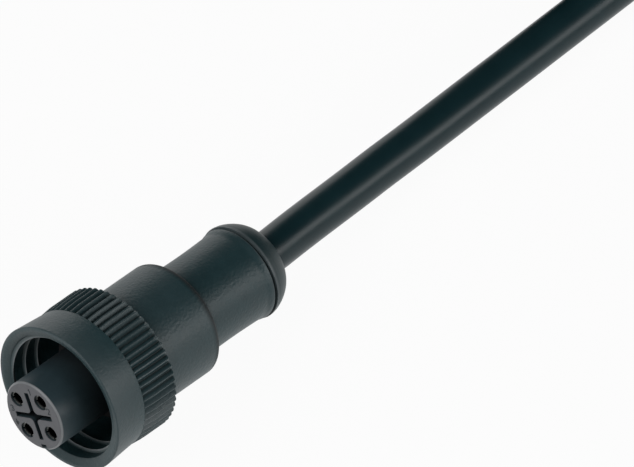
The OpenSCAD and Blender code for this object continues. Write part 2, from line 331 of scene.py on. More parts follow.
@dataclass(frozen=True)
class NosePlastic(AxialPlastic):
    """Moulded plastic of a round nose: a paler end face of painted light, a painted highlight on the rim, and
    painted shade in the openings and deeper back.
    """

    # Paler colour of the end face: painted light where the face meets the light
    lit_face_colour: Colour = (0.104, 0.108, 0.118)
    rim_radius: float = 0.00706
    rim_depth: float = 0.00055
    # Painted shade deepens from dark_from to dark_to behind the face
    dark_from: float = 0.0050
    dark_to: float = 0.0105
    fade: float = 0.0002
    opening_depth: float = 0.0010
    face_depth: float = 0.0001
    face_deep: float = 0.8
    face_pale: float = 1.2

    def wear_and_painted_light(self, place: Wire) -> Wire:
        """How worn a point of the nose is.

        Args:
            place: The point's place.

        Returns:
            One for a painted highlight on the face's rim, and down to minus one for painted shade in the
            openings and further back on the nose.
        """
        deep, radius = self.spread(place)
        inside = radius.ramp(self.rim_radius, self.rim_radius - self.fade)
        # Painted highlight on the rim of the face
        rim = (1.0 - inside) * deep.ramp(self.rim_depth, self.rim_depth - self.fade)
        # Painted shade in the openings and further back
        opening_shade = inside * deep.ramp(self.fade, self.opening_depth)
        return rim - opening_shade.at_least(deep.ramp(self.dark_from, self.dark_to))

    def tone(self, place: Wire, mottle: Wire) -> Wire:
        """The colour of a point of the nose.

        Args:
            place: The point's place.
            mottle: How pale the point is within its colour.

        Returns:
            The nose's own colour, or the paler one of its end face, which is painted light.
        """
        deep, _ = self.spread(place)
        pale = place.shade.mottled(mottle, self.lit_face_colour, self.face_deep, self.face_pale)
        on_face = deep.ramp(2.0 * self.face_depth, self.face_depth)
        return place.shade.mix(on_face, super().tone(place, mottle), pale)


@dataclass(frozen=True)
class SmoothJacket:
    """Extruded cable jacket: satin, with faint lines along its length."""

    name: str
    colour: Colour
    roughness: float = 0.34
    gloss: float = 0.3
    grain: float = 0.00035
    depth: float = 0.000012
    patch: float = 0.006

    def material(self) -> Material:
        """Makes the material from the cable's own UV map: fine draw lines, and soft patches in the gloss.

        Returns:
            The new material.
        """
        shade = Shade(self.name)
        spread = shade.node("ShaderNodeUVMap", {"uv_map": "UVMap"})
        drawn = shade.node("ShaderNodeMapping", None, {"Vector": spread, "Scale": (160.0, 3.0, 1.0)})
        lines = shade.noise(drawn, 1.0, 2.0)
        patches = shade.noise(shade.object_place(), self.patch, 3.0)
        grain = shade.noise(shade.object_place(), self.grain, 2.0)
        shade.bump(lines * 0.6 + grain * 0.4, self.depth)
        body = shade.mottled(patches, self.colour, 0.8, 1.2)
        rough = self.roughness - 0.05 + patches * 0.1
        return shade.finish(body, rough, Specular_IOR_Level=self.gloss)


@dataclass(frozen=True)
class TurnedMetal:
    """Turned or drawn metal, with rings or lines across the connector's axis.

    Beyond the place bright_to along the axis, it is painted dark: a painted shade inside the bore.
    """

    name: str
    colour: Colour
    along: Array
    roughness: float = 0.28
    ring: float = 0.00016
    ring_depth: float = 0.000004
    tarnish: float = 0.0012
    bright_to: float = 1.0
    fade: float = 0.0003

    def material(self) -> Material:
        """Makes the material: tool rings by the place along the axis, tarnish, and painted shade inside.

        Returns:
            The new material.
        """
        shade = Shade(self.name)
        place = shade.object_place()
        depth = place.dot(self.along)
        rings = shade.math("SINE", depth * (2.0 * math.pi / self.ring), 0.0)
        tarnish = shade.noise(place, self.tarnish, 3.0)
        shade.bump(rings * 0.5 + 0.5, self.ring_depth)
        # Painted shade: dark beyond bright_to, inside the bore
        inside = depth.ramp(self.bright_to, self.bright_to + self.fade)
        body = shade.mix(inside, shade.mottled(tarnish, self.colour, 0.6, 1.0), scaled(self.colour, 0.03))
        return shade.finish(body, self.roughness + tarnish * 0.15, Metallic=1.0)


@dataclass(frozen=True)
class CoreSkin:
    """Insulation of one core, plain or with a stripe of a second colour."""

    name: str
    colour: Colour
    stripe: Colour | None = None
    roughness: float = 0.4

    def material(self) -> Material:
        """Makes the material: a soft mottle, and for a striped core two colours in bands of a wave.

        Returns:
            The new material.
        """
        shade = Shade(self.name)
        place = shade.object_place()
        mottle = shade.noise(place, 0.0015, 3.0)
        body = shade.mottled(mottle, self.colour, 0.82, 1.0)
        if self.stripe is not None:
            wave = shade.node("ShaderNodeTexWave", {"bands_direction": "DIAGONAL"},
                              {"Vector": place, "Scale": 60.0, "Distortion": 0.4})
            body = shade.mix(shade.math("GREATER_THAN", wave, 0.5), body, self.stripe)
        shade.bump(shade.noise(place, 0.0004), 0.000008)
        return shade.finish(body, self.roughness + mottle * 0.1)


@dataclass(frozen=True)
class StudioFloor:
    """Pale floor that looks white in the picture and in reflections, and still takes a shadow."""

    name: str = "studio_floor"
    grey: float = 0.82
    lift: float = 0.95

    def material(self) -> Material:
        """Makes the material: diffuse paint, partly replaced by plain white for camera and mirror rays.

        Returns:
            The new material.
        """
        shade = Shade(self.name)
        camera, glossy, through = (shade.node("ShaderNodeLightPath", output=f"Is {kind} Ray")
                                   for kind in ("Camera", "Glossy", "Transmission"))
        seen = camera.at_least(glossy).at_least(through)
        paint = shade.node("ShaderNodeBsdfDiffuse", None, {"Color": (self.grey, self.grey, self.grey, 1.0)})
        white = shade.node("ShaderNodeEmission", None, {"Color": (1.0, 1.0, 1.0, 1.0), "Strength": 1.0})
        mixed = shade.node("ShaderNodeMixShader", None, {0: seen * self.lift, 1: paint, 2: white})
        shade.plug(shade.tree.nodes["Material Output"].inputs["Surface"], mixed)
        return shade.material


def smooth_step(value: Array) -> Array:
    """An even S-curve, 3 v squared less 2 v cubed, held at 0 below 0 and at 1 above 1."""
    held = np.clip(value, 0.0, 1.0)
    return held * held * (3.0 - 2.0 * held)


def window(value: Array, start: float, stop: float, rise: float, fall: float) -> Array:
    """Zero outside start and stop, and one between them, with an S-curve of each width inside them."""
    return smooth_step((value - start) / rise) * smooth_step((stop - value) / fall)


def full_turn(steps: int) -> Array:
    """The angles of a full turn in equal steps, in radians, as one row."""
    return np.linspace(0.0, 2.0 * np.pi, steps, endpoint=False)[None, :]


def unit(vectors: Array) -> Array:
    """Vectors of length one, in the same directions."""
    return vectors / np.linalg.norm(vectors, axis=-1, keepdims=True)


def run_along(points: Array) -> Array:
    """How far along a line each of its points lies."""
    return np.concatenate([[0.0], np.cumsum(np.linalg.norm(np.diff(points, axis=0), axis=1))])


def rounded_outline(rows: Array, steps: int = 6) -> Array:
    """Rounds each corner of a closed outline.

    A corner becomes a quadratic curve between two points at the same distance from it along its two
    sides, with one more point beyond each end so that the flats beside it stay flat in the shading.

    Args:
        rows: One row for each corner: place, radius, more columns that are carried along, and last how far
            from the corner its rounding begins.
        steps: How many parts a curve has.

    Returns:
        The points of the rounded outline, in order, without the last column.
    """
    corners, reach = rows[:, :-1], rows[:, -1]
    back = np.roll(corners, 1, axis=0) - corners
    ahead = np.roll(corners, -1, axis=0) - corners
    back_length = np.linalg.norm(back[:, :2], axis=1)
    ahead_length = np.linalg.norm(ahead[:, :2], axis=1)
    held = np.minimum(reach, ROUND_SHARE * np.minimum(back_length, ahead_length))
    start = back * (held / back_length)[:, None]
    stop = ahead * (held / ahead_length)[:, None]
    share = np.linspace(0.0, 1.0, steps + 1)[None, :, None]
    curve = (1.0 - share) ** 2 * start[:, None] + share ** 2 * stop[:, None]
    guards = 1.0 + GUARD_SHARE * (held > 0.0)[:, None, None]
    curve = np.concatenate([guards * start[:, None], curve, guards * stop[:, None]], axis=1)
    points = (curve + corners[:, None]).reshape(-1, corners.shape[1])
    apart = np.linalg.norm(points - np.roll(points, 1, axis=0), axis=1) > SAME_POINT
    return points[apart]


def grid_faces(rows: int, columns: int, close_rows: bool) -> Array:
    """Numbers of the corners of each quad of a grid, whose columns run round to the start.

    Args:
        rows: How many rows of points there are.
        columns: How many points a row has.
        close_rows: Whether the last row joins the first.

    Returns:
        One row of four point numbers for each quad.
    """
    first = np.arange(rows if close_rows else rows - 1)[:, None]
    across = np.arange(columns)[None, :]
    below = (first + 1) % rows
    beside = (across + 1) % columns
    corners = [first * columns + across, below * columns + across,
               below * columns + beside, first * columns + beside]
    return np.stack(np.broadcast_arrays(*corners), axis=-1).reshape(-1, 4)


def new_mesh(name: str, points: Array, faces: list, sharp_deg: float = 40.0) -> Piece:
    """Puts points and faces into the scene as an object at the origin.

    Args:
        name: The piece's name.
        points: One row for each point.
        faces: Point numbers of each face.
        sharp_deg: Edges that turn by more than this stay sharp in the shading.

    Returns:
        The new object.
    """
    mesh = bpy.data.meshes.new(name)
    mesh.from_pydata(points.tolist(), [], faces)
    mesh.update()
    mesh.shade_smooth()
    mesh.set_sharp_from_angle(angle=math.radians(sharp_deg))
    made = bpy.data.objects.new(name, mesh)
    bpy.context.scene.collection.objects.link(made)
    return made


def closed_surface(name: str, grid: Array, caps: bool = False, sharp_deg: float = 40.0) -> Piece:
    """A closed surface from a grid of points, facing outwards.

    Args:
        name: The piece's name.
        grid: Points by row, column and coordinate. Columns run round to the start, clockwise for one who
            looks along the way that the rows take outside.
        caps: Whether the rows stop at flat ends, or else run round to the start.
        sharp_deg: Edges that turn by more than this stay sharp.

    Returns:
        The new object.
    """
    rows, columns = grid.shape[:2]
    faces = grid_faces(rows, columns, not caps)[:, ::-1].tolist()
    if caps:
        last = (rows - 1) * columns
        faces += [list(range(columns))[::-1], list(range(last, last + columns))]
    return new_mesh(name, grid.reshape(-1, 3), faces, sharp_deg)


def set_attribute(piece: Piece, name: str, values: Array) -> None:
    """Stores one number for each point of a piece."""
    stored = piece.data.attributes.new(name, "FLOAT", "POINT")
    stored.data.foreach_set("value", values.astype(np.float32).ravel())


def set_uv(piece: Piece, uv: Array) -> None:
    """Stores a UV map.

    Args:
        piece: The piece.
        uv: One pair of numbers for each of its points.
    """
    layer = piece.data.uv_layers.new(name="UVMap")
    corner = np.zeros(len(piece.data.loops), np.int32)
    piece.data.loops.foreach_get("vertex_index", corner)
    layer.data.foreach_set("uv", uv[corner].astype(np.float32).ravel())


def coat(mesh: bpy.types.Mesh, material: Material) -> None:
    """Makes a finish the only one of a mesh."""
    mesh.materials.clear()
    mesh.materials.append(material)


def seat(piece: Piece, body: Body, material: Material, replaced: tuple[str, ...] = ()) -> None:
    """Gives a new piece its finish and makes it ride on a body.

    Args:
        piece: The new piece.
        body: The body that carries it.
        material: The finish.
        replaced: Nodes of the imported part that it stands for.
    """
    coat(piece.data, material)
    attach(piece, body.value)
    if replaced:
        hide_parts(*replaced)
    LOG.info("%s: %d points on %s", piece.name, len(piece.data.vertices), body.value)


def paint_node(frame: dict, node: str, material: Material) -> None:
    """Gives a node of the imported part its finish."""
    coat(frame["nodes"][node].data, material)
    LOG.info("%s: finish %s", node, material.name)


@dataclass(frozen=True)
class Axis:
    """The connector's axis: where its mating face is, and the directions back, down and sideways."""

    face: Array
    back: Array
    down: Array
    side: Array

    @classmethod
    def of_joint(cls, joint: dict, ring_middle: float) -> "Axis":
        """Works the axis out from the ring's joint.

        Args:
            joint: The record's joint that the ring turns on.
            ring_middle: The joint's place along the axis.

        Returns:
            The axis.
        """
        back = unit(np.array(joint["axis"]))
        side = np.array([0.0, 1.0, 0.0])
        return cls(np.array(joint["pos_m"]) - ring_middle * back, back, np.cross(side, back), side)

    def points(self, along: Array, radius: Array, angle: Array) -> Array:
        """Points at a place along the axis, a radius and an angle in radians, broadcast together.

        Each is the mating face's centre, plus the place along the back direction, plus the radius times
        the cosine of the angle downwards and its sine sideways.

        Args:
            along: Places back from the mating face.
            radius: Distances from the axis.
            angle: Angles from straight down towards +Y.

        Returns:
            The points, with the coordinate as the last index.
        """
        along, radius, angle = np.broadcast_arrays(along, radius, angle)
        out = np.cos(angle)[..., None] * self.down + np.sin(angle)[..., None] * self.side
        return self.face + along[..., None] * self.back + radius[..., None] * out


@dataclass
class CouplingRing:
    """The turning ring: smooth band, ribbed grip, mouth and round thread."""

    axis: Axis
    front: float = 0.0068
    rear: float = 0.0234
    grip_front: float = 0.0147
    lip: float = 0.01535
    band: float = 0.01470
    grip: float = 0.01500
    dish: float = 0.0146
    dish_depth: float = 0.0007
    mouth: float = 0.01305
    root: float = 0.0130
    collar: float = 0.0026
    collar_bore: float = 0.0092
    ribs: int = 60
    rib_turn_deg: float = -1.65
    groove: float = 0.0007
    groove_floor: float = 0.00014
    groove_top: float = 0.0014
    edge: float = 0.00035
    pitch: float = 0.003175
    crest: float = 0.00064
    thread_turns: float = 2.45
    thread_front: float = 0.00726
    thread_turn_deg: float = 40.0
    thread_run: tuple[float, float] = (0.07, 0.05)
    thread_half: float = 0.09
    thread_slim: float = 0.4
    thread_sunk: float = 0.00004
    thread_foot: float = 0.00012
    # Painted shadow line inside the lip: its angle window, how far back it is sunk and its strength
    shadow_line_side: tuple[float, ...] = (35.0, 145.0, 25.0, 25.0)
    shadow_line_sunk: float = 0.00045
    shadow_line_strength: float = 1.3
    # Angle window where the grooves carry no painted shade
    unshaded_groove_side: tuple[float, ...] = (246.0, 340.0, 9.0, 25.0)
    black: Colour = (0.016, 0.043, 0.049)
    pieces: list = field(default_factory=list)

    def outline(self) -> Array:
        """The ring's section: straight lines between corners, which are rounded.

        Returns:
            Rows of place, radius, depth of rib, rubbed edge with painted highlight, and painted shadow line.
        """
        cut_short = (self.groove - self.edge) / self.groove
        collar_front = self.rear - self.collar
        # Columns: place, radius, depth of rib, rubbed edge with painted highlight, painted shadow line, and
        # how far the rounding reaches
        corners = np.array([
            (self.front + 2.0 * self.dish_depth, self.root, 0.0, 0.0, 0.0, 0.0002),
            (self.front + 1.3 * self.dish_depth, self.mouth - 0.00001, 0.0, 0.0, 1.0, 0.0),
            (self.front + self.dish_depth, self.mouth, 0.0, 0.3, 1.0, 0.00015),
            (self.front + 0.8 * self.dish_depth, 0.8 * self.mouth + 0.2 * self.dish, 0.0, 0.3, 0.0, 0.0),
            (self.front, self.dish, 0.0, 0.3, 0.0, 0.00018),
            (self.front, self.lip, 0.0, 0.6, 0.0, 0.0006),
            (self.grip_front, self.band, 0.0, 0.0, 0.0, 0.0),
            (self.grip_front + 0.00002, self.grip - 0.00022, 1.0, 0.8, 0.0, 0.00016),
            (self.grip_front + 0.0025, self.grip, 1.0, 0.8, 0.0, 0.0),
            (self.rear - self.edge, self.grip, 1.0, 0.7, 0.0, 0.00025),
            (self.rear, self.grip - self.edge, cut_short, 0.2, 0.0, 0.00015),
            (self.rear, self.grip - 2.0 * self.groove, 0.0, 0.0, 0.0, 0.0),
            (self.rear, self.collar_bore, 0.0, 0.2, 0.0, 0.0002),
            (collar_front, self.collar_bore, 0.0, 0.0, 0.0, 0.0002),
            (collar_front, self.root, 0.0, 0.0, 0.0, 0.0002),
        ])
        return rounded_outline(corners)

    def build_body(self) -> Piece:
        """Builds the ring: its section is carried round the axis, and grooves are cut by the angle.

        The radius is the outline's less the groove's depth times how far the angle lies in a groove, a
        straight slope between the groove's top and its floor. Each rib has the same uneven steps of angle.
        A sunk line of painted shadow lies inside the lip on one side, and painted shade lies in the grooves
        except on another side. Both fade out by an S-curve at their two ends.

        Returns:
            The new object.
        """
        outline = self.outline()
        pitch = 2.0 * np.pi / self.ribs
        width = pitch * self.grip
        half = np.array([0.0, 0.03, 0.0446, 0.10, 0.18, 0.26, 0.34, 0.42, 0.4456, 0.475])
        steps = np.concatenate([half, [0.5], 1.0 - half[:0:-1]])
        angle = ((np.arange(self.ribs)[:, None] + 0.5 + steps[None, :]) * pitch).reshape(1, -1)
        angle += math.radians(self.rib_turn_deg)
        from_groove = np.tile(np.minimum(steps, 1.0 - steps) * width, self.ribs)
        inner, outer = 0.5 * self.groove_floor, 0.5 * self.groove_top
        cut = 1.0 - np.clip((from_groove - inner) / (outer - inner), 0.0, 1.0)
        turned = np.degrees(angle) % 360.0
        place, radius, rib, rubbed_and_highlit, painted_shade = (outline[:, i:i + 1] for i in range(5))
        sunk = rib * cut[None, :]
        # Painted shadow line inside the lip, and where the grooves carry painted shade
        line = painted_shade * window(turned, *self.shadow_line_side)
        groove_shade = 1.0 - window(turned, *self.unshaded_groove_side)
        grid = self.axis.points(place + self.shadow_line_sunk * line, radius - self.groove * sunk, angle)
        piece = closed_surface("ring_body", grid)
        # Stored value: rubbed edges with painted highlights on rib tops, painted shade in the grooves, and
        # the painted shadow line
        set_attribute(piece, "wear_and_painted_light", rubbed_and_highlit * (1.0 - sunk) - sunk * groove_shade - self.shadow_line_strength * line)
        return piece

    def build_thread(self) -> Piece:
        """Builds the round thread: a rounded ridge carried along a helix inside the ring.

        The ridge's height is a raised cosine across its width, and both run out to little at the two ends.
        Its foot is sunk a little into the ring's wall.

        Returns:
            The new object.
        """
        share = np.linspace(0.0, 1.0, 320)[:, None]
        across = np.linspace(-1.0, 1.0, 15)[None, :]
        run_out = window(share, 0.0, 1.0, *self.thread_run)
        height = self.crest * run_out * (0.5 + 0.5 * np.cos(np.pi * across))
        foot = np.full((len(share), 2), self.root + self.thread_foot)
        radius = np.concatenate([self.root - height + self.thread_sunk, foot], axis=1)
        spread = np.concatenate([across, [[1.0, -1.0]]], axis=1)
        slim = self.thread_slim + (1.0 - self.thread_slim) * run_out
        width = self.thread_half * self.pitch * slim * spread
        turns = self.thread_turns * share
        angle = 2.0 * np.pi * turns + math.radians(self.thread_turn_deg)
        grid = self.axis.points(self.thread_front + self.pitch * turns + width, radius, angle)
        piece = closed_surface("ring_thread", grid, caps=True, sharp_deg=60.0)
        # Painted highlight along the thread's crests
        set_attribute(piece, "wear_and_painted_light", np.pad((height / self.crest) ** 2, ((0, 0), (0, 2))))
        return piece

    def build(self) -> None:
        """Builds the ring's pieces."""
        self.pieces = [self.build_body(), self.build_thread()]

    def dress(self) -> None:
        """Gives them the ring's plastic and seats them on the turning body."""
        # Ring plastic with painted highlights on rubbed edges and painted shade in the grooves
        plastic = MouldedPlastic("ring_plastic", self.black, roughness=0.46, rub_and_highlight=0.5, painted_shade=0.65,
                                 grain=0.00055, depth=0.00006).material()
        # Thread with a pale painted highlight on its crests
        crests = MouldedPlastic("ring_thread", self.black, roughness=0.42, rub_and_highlight=1.0,
                                rubbed_and_highlit=(0.27, 0.30, 0.31)).material()
        body, thread = self.pieces
        seat(body, Body.RING, plastic, ("coupling_ring",))
        seat(thread, Body.RING, crests)


class Glyph(Enum):
    """The strokes of each mark, as (right, up) points in heights of the mark about its middle."""

    ONE = (((-0.18, 0.28), (0.05, 0.5), (0.05, -0.5)),)
    TWO = (((-0.28, 0.26), (-0.2, 0.44), (0.0, 0.5), (0.22, 0.42), (0.27, 0.2), (0.1, -0.08), (-0.28, -0.5),
            (0.3, -0.5)),)
    THREE = (((-0.27, 0.4), (0.0, 0.5), (0.24, 0.38), (0.22, 0.12), (0.0, 0.02), (0.25, -0.1), (0.27, -0.35),
              (0.02, -0.5), (-0.28, -0.38)),)
    EARTH = (((0.0, 0.5), (0.0, 0.0)), ((-0.36, 0.0), (0.36, 0.0)), ((-0.22, -0.2), (0.22, -0.2)),
             ((-0.1, -0.4), (0.1, -0.4)))


@dataclass
class FaceMarks:
    """Raised numerals and an earth sign on the insert's face, each at an angle and a radius."""

    axis: Axis
    key_turn_deg: float = -32.0
    places: tuple[tuple[float, float], ...] = (
        (160.0, 0.00545), (-140.0, 0.0051), (70.0, 0.0057), (40.0, 0.0058))
    height: float = 0.00125
    half_width: float = 0.00013
    lift: float = 0.00006
    pieces: list = field(default_factory=list)

    def build_stroke(self, name: str, middle: Array, line: Array) -> Piece:
        """Builds one stroke: an ellipse carried along the line, half sunk into the face.

        Args:
            name: The piece's name.
            middle: The middle of the mark, on the face.
            line: The stroke's (right, up) points, in heights of the mark.

        Returns:
            The new object.
        """
        turn = math.radians(self.key_turn_deg)
        up = -math.cos(turn) * self.axis.down - math.sin(turn) * self.axis.side
        right = np.cross(self.axis.back, up)
        run = run_along(line)
        even = np.linspace(0.0, run[-1], 25)
        flat = np.stack([np.interp(even, run, way) for way in line.T], axis=1)
        ahead = unit(np.gradient(flat, axis=0))
        angle = full_turn(10)
        wide = self.half_width * np.cos(angle)
        x = self.height * flat[:, :1] - wide * ahead[:, 1:]
        y = self.height * flat[:, 1:] + wide * ahead[:, :1]
        out = middle - self.lift * np.sin(angle)[..., None] * self.axis.back
        return closed_surface(name, out + x[..., None] * right + y[..., None] * up, caps=True)

    def build(self) -> None:
        """Builds every stroke of the four marks."""
        for glyph, (turn_deg, radius) in zip(Glyph, self.places):
            middle = self.axis.points(np.array(0.0), np.array(radius), np.radians(turn_deg))
            self.pieces += [self.build_stroke(f"mark_{glyph.name.lower()}_{j + 1}", middle, np.array(line))
                            for j, line in enumerate(glyph.value)]

    def dress(self) -> None:
        """Gives the strokes a dark plastic and seats them."""
        plastic = MouldedPlastic("face_marks", (0.016, 0.024, 0.028), roughness=0.5,
                                 depth=0.000006).material()
        for piece in self.pieces:
            seat(piece, Body.CONNECTOR, plastic)


@dataclass
class Shell:
    """The stepped sleeve: wide front part, waisted neck and a flare out to the rim."""

    axis: Axis
    front: float = 0.0236
    shoulder: float = 0.0388
    rear: float = 0.0560
    wide: float = 0.01195
    neck: float = 0.0093
    waist: float = 0.00015
    rim: float = 0.0096
    flare: float = 0.0020
    stem: float = 0.00905
    neck_bore: float = 0.0078
    step: float = 0.03615
    fillet: float = 0.0006
    rim_flat: float = 0.0004
    # Where the painted shade before the shoulder begins
    dark_from: float = 0.0020
    bevel: float = 0.0008
    bevel_drop: float = 0.0009
    columns: int = 192
    piece: Piece | None = None

    def outline(self) -> Array:
        """The sleeve's section: straight lines between corners, which are rounded.

        The neck narrows by a half sine towards its middle, and the flare opens by a raised cosine.

        Returns:
            Rows of place, radius, and rubbed edge with painted highlight, negative for painted shade at the
            shoulder.
        """
        share = np.linspace(0.0, 1.0, 13)[1:]
        none = 0.0 * share
        neck_front = self.shoulder + self.fillet
        neck_rear = self.rear - self.flare
        opened = 0.5 - 0.5 * np.cos(np.pi * share)
        neck = [neck_front + (neck_rear - neck_front) * share,
                self.neck - self.waist * np.sin(np.pi * share), none, none]
        flared = [neck_rear + (self.flare - self.rim_flat) * share,
                  self.neck + (self.rim - self.neck) * opened, 0.1 * opened, none]
        lead = [
            (self.front, self.stem, 0.0, 0.0002),
            (self.front, self.wide, 0.2, 0.0004),
            # Painted shade over the shoulder's rounding and the foot of the neck
            (self.shoulder - self.dark_from, self.wide, 0.1, 0.0),
            (self.shoulder - self.bevel, self.wide, -1.15, 0.0008),
            (self.shoulder, self.wide - self.bevel_drop, -1.15, 0.0005),
            (self.shoulder, self.neck, -1.0, 0.0007),
        ]
        tail = [
            # Painted highlight along the rim's edge
            (self.rear, self.rim, 1.0, 0.0002),
            (self.rear, self.neck_bore, 0.0, 0.0002),
            (self.step, self.neck_bore, 0.0, 0.0),
            (self.step, self.stem, 0.0, 0.0),
        ]
        corners = np.concatenate([lead, np.transpose(neck), np.transpose(flared), tail])
        return rounded_outline(corners, 8)

    def build(self) -> None:
        """Builds the sleeve by carrying its section round the axis."""
        outline = self.outline()
        grid = self.axis.points(outline[:, :1], outline[:, 1:2], full_turn(self.columns))
        self.piece = closed_surface("shell_sleeve", grid)
        set_attribute(self.piece, "wear_and_painted_light", np.repeat(outline[:, 2], self.columns))

    def dress(self) -> None:
        """Gives it the shell's grained plastic and seats it."""
        plastic = MouldedPlastic("shell_plastic", (0.014, 0.040, 0.046), roughness=0.45, rub_and_highlight=0.6,
                                 grain=0.00055, depth=0.00007).material()
        seat(self.piece, Body.CONNECTOR, plastic, ("shell",))


@dataclass
class WireFinishes:
    """The finishes that the wires inside the connector and the cable's cut end share."""

    along: Array
    skins: dict = field(default_factory=dict)
    copper: Material | None = None

    def make(self) -> None:
        """Makes one finish for each core, and the copper."""
        colours = {
            Slot.BROWN: [(0.10, 0.05, 0.025)],
            Slot.BLACK: [(0.02, 0.02, 0.02)],
            Slot.GREY: [(0.25, 0.26, 0.27)],
            Slot.GREEN: [(0.07, 0.24, 0.04), (0.62, 0.55, 0.04)],
        }
        self.skins = {slot: CoreSkin(slot.value, *pair).material() for slot, pair in colours.items()}
        self.copper = TurnedMetal("copper_strands", (0.72, 0.38, 0.22), self.along, roughness=0.32,
                                  ring=0.0011).material()


@dataclass
class CutEnd:
    """The cable's bare end: four cores that stand out of the jacket, each with a tip of copper."""

    path: Array
    wires: WireFinishes
    core: float = 0.00135
    strands: float = 0.0008
    ring: float = 0.00195
    sunk: float = 0.001
    bared: float = 0.009
    tip: float = 0.0035
    splay: float = 0.0012
    pieces: list = field(default_factory=list)

    def bar(self, name: str, turn: float, radius: float, start: float, stop: float) -> Piece:
        """Builds one round bar beside the cable's line.

        A circle is carried along a line that leaves the cable's end ahead and moves out from its middle by
        the square of the way along it. The bar's last steps close in by a quarter circle.

        Args:
            name: The piece's name.
            turn: The angle round the cable, in radians.
            radius: The bar's radius.
            start: Where it begins, ahead of the jacket's end.
            stop: Where it ends.

        Returns:
            The new object.
        """
        end = self.path[-1]
        ahead = unit(end - self.path[-3])
        level = unit(np.cross(UP, ahead))
        over = np.cross(ahead, level)
        share = np.linspace(0.0, 1.0, 24)[:, None]
        along = start + (stop - start) * share
        out = self.ring + self.splay * (np.maximum(along, 0.0) / self.bared) ** 2
        blunt = 0.3 * radius
        near_end = np.clip(1.0 - (stop - along) / blunt, 0.0, 1.0)
        slim = radius - blunt * (1.0 - np.sqrt(1.0 - near_end ** 2))
        angle = full_turn(20)
        sideways = out * math.cos(turn) + slim * np.cos(angle)
        upwards = out * math.sin(turn) + slim * np.sin(angle)
        grid = end + along[..., None] * ahead + sideways[..., None] * level + upwards[..., None] * over
        return closed_surface(name, grid, caps=True)

    def build(self) -> None:
        """Builds four cores and four tips, evenly round the cable."""
        kinds = (("end_core", self.core, -self.sunk, self.bared),
                 ("end_strands", self.strands, self.bared - self.sunk, self.bared + self.tip))
        for name, *sizes in kinds:
            self.pieces += [self.bar(f"{name}_{i + 1}", math.pi * (0.25 + 0.5 * i), *sizes) for i in range(4)]

    def dress(self) -> None:
        """Gives each core its colour and each tip its copper, and seats them."""
        for piece, (slot, skin) in zip(self.pieces, self.wires.skins.items()):
            seat(piece, Body.CONNECTOR, skin)
        for piece in self.pieces[4:]:
            seat(piece, Body.CONNECTOR, self.wires.copper)


